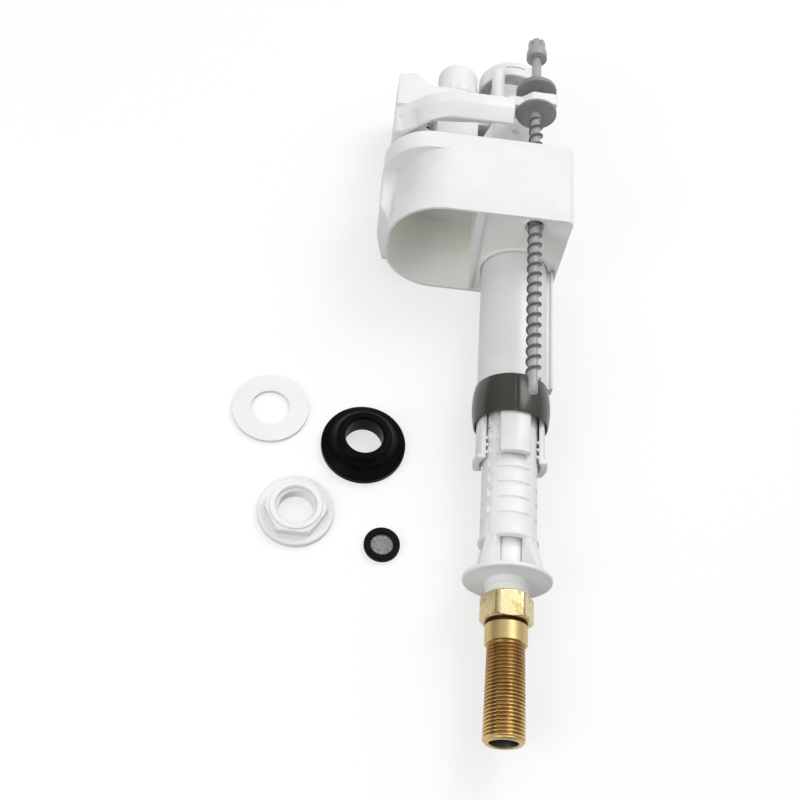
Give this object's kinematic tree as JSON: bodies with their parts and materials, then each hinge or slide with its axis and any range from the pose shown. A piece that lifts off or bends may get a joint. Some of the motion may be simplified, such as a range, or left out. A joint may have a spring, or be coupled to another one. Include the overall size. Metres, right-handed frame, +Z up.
{
  "type": "bottom inlet fill valve",
  "caption": "Cistern fill valve with a brass bottom inlet, ribbed height column, lock collar, cup float on a screw, lever arm and diaphragm head, with its loose fittings.",
  "frame": {"origin": "centre of the brass tail's open end, on the axis of the inlet", "axes": "+Y runs up the valve from the inlet to the head, +Z is up off the table that the valve lies on and points to the screw's side, +X is to the right of the float's screw"},
  "size_m": [0.1769, 0.4295, 0.078],
  "materials": {
    "brass": "turned and milled, with light tarnish",
    "white_plastic": "moulded, fine satin",
    "tube_plastic": "moulded, smooth",
    "grey_plastic": "moulded, satin",
    "collar_plastic": "dark olive, glossy",
    "seal_rubber": "moulded rubber",
    "gasket_rubber": "moulded rubber, soft sheen",
    "steel": "plain stainless"
  },
  "bodies": {
    "base": {"brass_tail": "brass", "tail_o_ring": "seal_rubber", "flow_restrictor": "white_plastic", "foot_column": "white_plastic", "inlet_pipe": "tube_plastic", "pipe_o_ring": "seal_rubber", "flat_washer": "white_plastic", "rubber_gasket": "gasket_rubber", "back_nut": "white_plastic", "filter_ring": "gasket_rubber", "filter_gauze": "steel"},
    "upper": {"riser_pipe": "tube_plastic", "guide_tube": "tube_plastic", "valve_body": "white_plastic", "diaphragm": "seal_rubber", "diaphragm_pin": "white_plastic", "vent_hood": "white_plastic"},
    "collar": {"lock_collar": "collar_plastic"},
    "cap": {"head_cap": "white_plastic"},
    "arm": {"lever_arm": "white_plastic", "arm_pin": "steel", "pilot_seal": "seal_rubber"},
    "discs": {"lower_disc": "grey_plastic", "upper_disc": "grey_plastic"},
    "screw": {"adjusting_screw": "grey_plastic", "adjuster_knob": "grey_plastic"},
    "float": {"float_cup": "white_plastic", "float_lid": "white_plastic"}
  },
  "joints": [
    {"name": "height_adjust", "type": "slide", "parent": "base", "child": "upper", "axis": [0, 1, 0], "range_m": [-0.042, 0.03]},
    {"name": "collar_slide", "type": "slide", "parent": "upper", "child": "collar", "axis": [0, 1, 0], "range_m": [-0.021, 0]},
    {"name": "cap_turn", "type": "hinge", "parent": "upper", "child": "cap", "pos_m": [-0.0395, 0.4, 0.0055], "axis": [0, 1, 0], "range_deg": [0, 90]},
    {"name": "float_lift", "type": "slide", "parent": "upper", "child": "discs", "axis": [0, 1, 0], "range_m": [-0.009, 0.003]},
    {"name": "arm_swing", "type": "hinge", "parent": "upper", "child": "arm", "pos_m": [-0.07, 0.3714, 0.004], "axis": [0, 0, 1], "range_deg": [-7, 2.5]},
    {"name": "screw_turn", "type": "hinge", "parent": "discs", "child": "screw", "pos_m": [0.004, 0.3, 0.043], "axis": [0, 1, 0], "range_deg": [-361, 2161]},
    {"name": "float_travel", "type": "slide", "parent": "discs", "child": "float", "axis": [0, 1, 0], "range_m": [-0.0402, 0.0067]}
  ],
  "couplings": [
    {"joint": "arm_swing", "follows": "float_lift", "rad_per_m": 13.072},
    {"joint": "screw_turn", "follows": "float_travel", "rad_per_m": -937.79}
  ]
}
